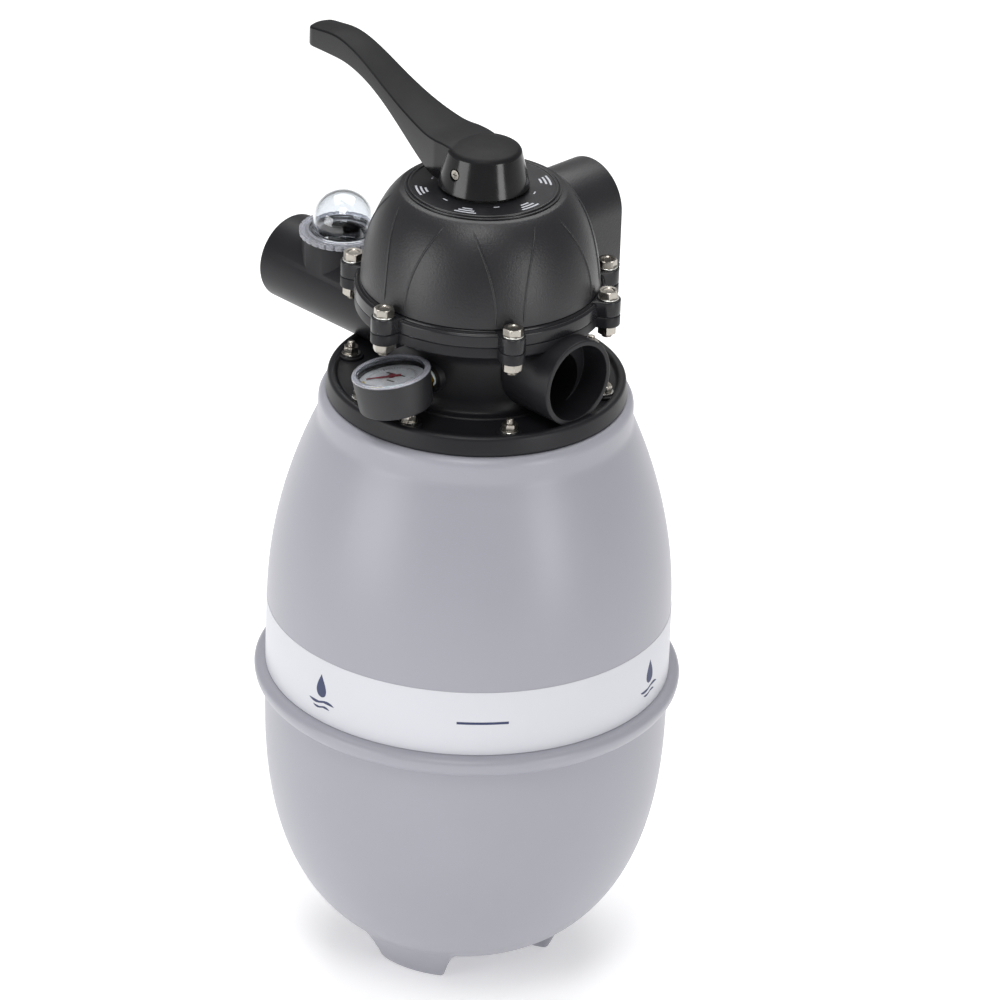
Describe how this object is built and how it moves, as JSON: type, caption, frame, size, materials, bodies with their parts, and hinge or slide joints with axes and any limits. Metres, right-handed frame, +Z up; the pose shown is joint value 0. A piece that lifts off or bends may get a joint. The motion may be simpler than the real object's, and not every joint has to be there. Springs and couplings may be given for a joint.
{
  "type": "sand filter tank",
  "caption": "Top-mount sand filter: rounded plastic tank with a belly rib and feet, a flanged multiport valve with a lever, side ports, a sight glass and a pressure gauge.",
  "frame": {"origin": "on the floor, on the tank's vertical axis", "axes": "+Z up along the tank's axis; +X out of the return port; +Y out of the pump port in the cover; the waste port, the sight glass and the lever point along -X and the gauge along -Y"},
  "size_m": [0.3568, 0.3156, 0.692],
  "materials": {
    "tank_plastic": "satin, blow-moulded",
    "band_print": "printed film",
    "valve_plastic": "finely grained",
    "cover_plastic": "finely grained",
    "lever_plastic": "polished",
    "label_plastic": "smooth",
    "white_plastic": "smooth",
    "diffuser_plastic": "smooth",
    "cap_plastic": "smooth",
    "rotor_plastic": "smooth",
    "seal_rubber": "smooth",
    "spoke_rubber": "smooth",
    "fastener_steel": "stainless, turned",
    "washer_steel": "stainless, stamped",
    "spring_steel": "drawn wire",
    "brass": "turned",
    "thread_tape": "wrapped film",
    "clear_plastic": "clear, moulded",
    "gauge_black": "smooth",
    "gauge_clear": "clear, moulded",
    "dial_print": "printed",
    "pointer_red": "painted"
  },
  "bodies": {
    "filter": {"tank_shell": "tank_plastic", "band_label": "band_print", "neck_inserts": "brass", "drain_plug": "cap_plastic", "drain_gasket": "seal_rubber", "laterals": "white_plastic", "lateral_hub": "white_plastic", "standpipe": "white_plastic", "top_diffuser": "diffuser_plastic", "flange_gasket": "seal_rubber", "valve_body": "valve_plastic", "flange_studs": "fastener_steel", "flange_washers": "washer_steel", "flange_nuts": "fastener_steel", "sight_glass": "clear_plastic", "sight_glass_ring": "seal_rubber", "rotor_gasket": "spoke_rubber", "cover_ring": "seal_rubber", "valve_cover": "cover_plastic", "cover_bolts": "fastener_steel", "cover_washers": "washer_steel", "cover_nuts": "fastener_steel", "stem_rings": "seal_rubber", "label_plate": "label_plastic", "stem_washer": "white_plastic", "valve_spring": "spring_steel", "gauge_case": "gauge_black", "gauge_stem": "brass", "gauge_tape": "thread_tape", "gauge_bourdon_tube": "brass", "gauge_movement": "brass", "gauge_dial": "dial_print", "gauge_window": "gauge_clear"},
    "spring_seat": {"spring_washer": "washer_steel"},
    "rotor": {"rotor": "rotor_plastic"},
    "handle": {"handle": "lever_plastic", "handle_pin": "fastener_steel", "handle_pin_nut": "fastener_steel"},
    "pointer": {"gauge_pointer": "pointer_red"}
  },
  "joints": [
    {"name": "rotor_lift", "type": "slide", "parent": "filter", "child": "spring_seat", "axis": [0, 0, 1], "range_m": [0, 0.005], "stiffness_N_per_m": 8000, "springref_m": -0.01, "deforming": ["valve_spring"]},
    {"name": "rotor_spin", "type": "hinge", "parent": "spring_seat", "child": "rotor", "pos_m": [0, 0, 0.55], "axis": [0, 0, 1], "continuous": true},
    {"name": "handle_press", "type": "hinge", "parent": "rotor", "child": "handle", "pos_m": [0, 0, 0.6355], "axis": [0, -1, 0], "range_deg": [0, 8.7]},
    {"name": "pointer_turn", "type": "hinge", "parent": "filter", "child": "pointer", "pos_m": [0.0145, -0.09681, 0.48784], "axis": [0.1392, 0.1035, -0.9848], "range_deg": [0, 270]}
  ],
  "couplings": [
    {"joint": "handle_press", "follows": "rotor_lift", "rad_per_m": 30.1}
  ]
}
